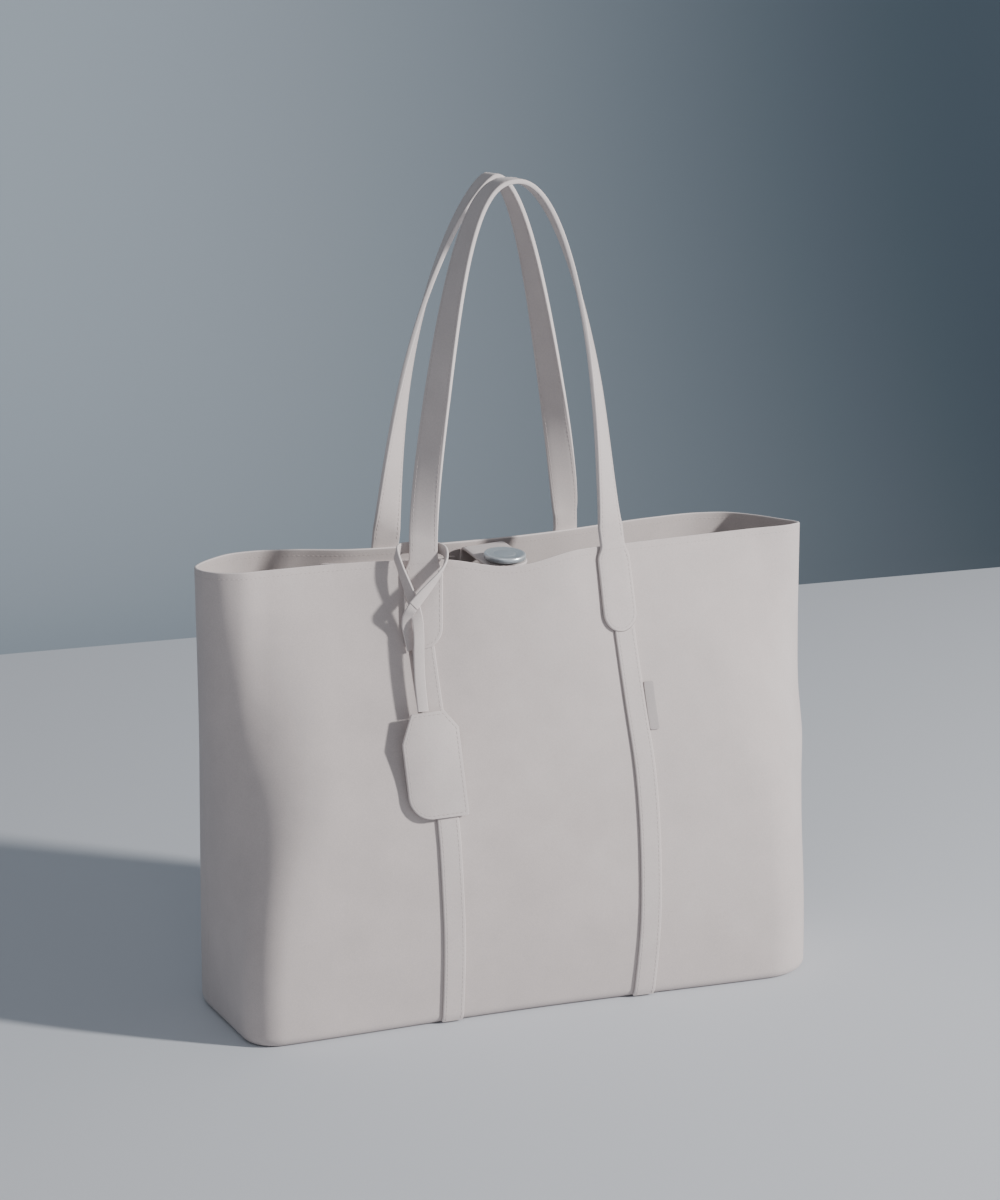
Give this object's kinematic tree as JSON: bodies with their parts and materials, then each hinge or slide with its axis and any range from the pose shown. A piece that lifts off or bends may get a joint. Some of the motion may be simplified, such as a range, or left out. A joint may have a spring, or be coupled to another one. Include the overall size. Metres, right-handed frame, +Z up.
{
  "type": "tote bag",
  "caption": "Soft open-topped tote bag standing by itself, with long arched strap handles, a closure tab with a button, and a hanging tag.",
  "frame": {"origin": "on the underside of the base, on the surface the bag stands on, midway between the handle legs across the bag", "axes": "+Z up, -Y towards the front with the hanging tag, +X to the right as seen from the front"},
  "size_m": [0.47, 0.1825, 0.5827],
  "materials": {
    "suede": "fine napped suede, matt",
    "strap_suede": "fine napped suede, matt, with stitched edges",
    "button_metal": "satin, pale blue-grey"
  },
  "bodies": {
    "root": {"front_panel": "suede", "back_panel": "suede", "base_panel": "suede", "inner_pocket": "suede", "front_handle": "strap_suede", "back_handle": "strap_suede", "front_strip_left": "strap_suede", "front_strip_right": "strap_suede", "back_strip_left": "strap_suede", "back_strip_right": "strap_suede", "closure_strap": "strap_suede", "tag_strap": "strap_suede", "tag": "strap_suede", "label_tab": "strap_suede", "closure_button": "button_metal"}
  },
  "joints": []
}
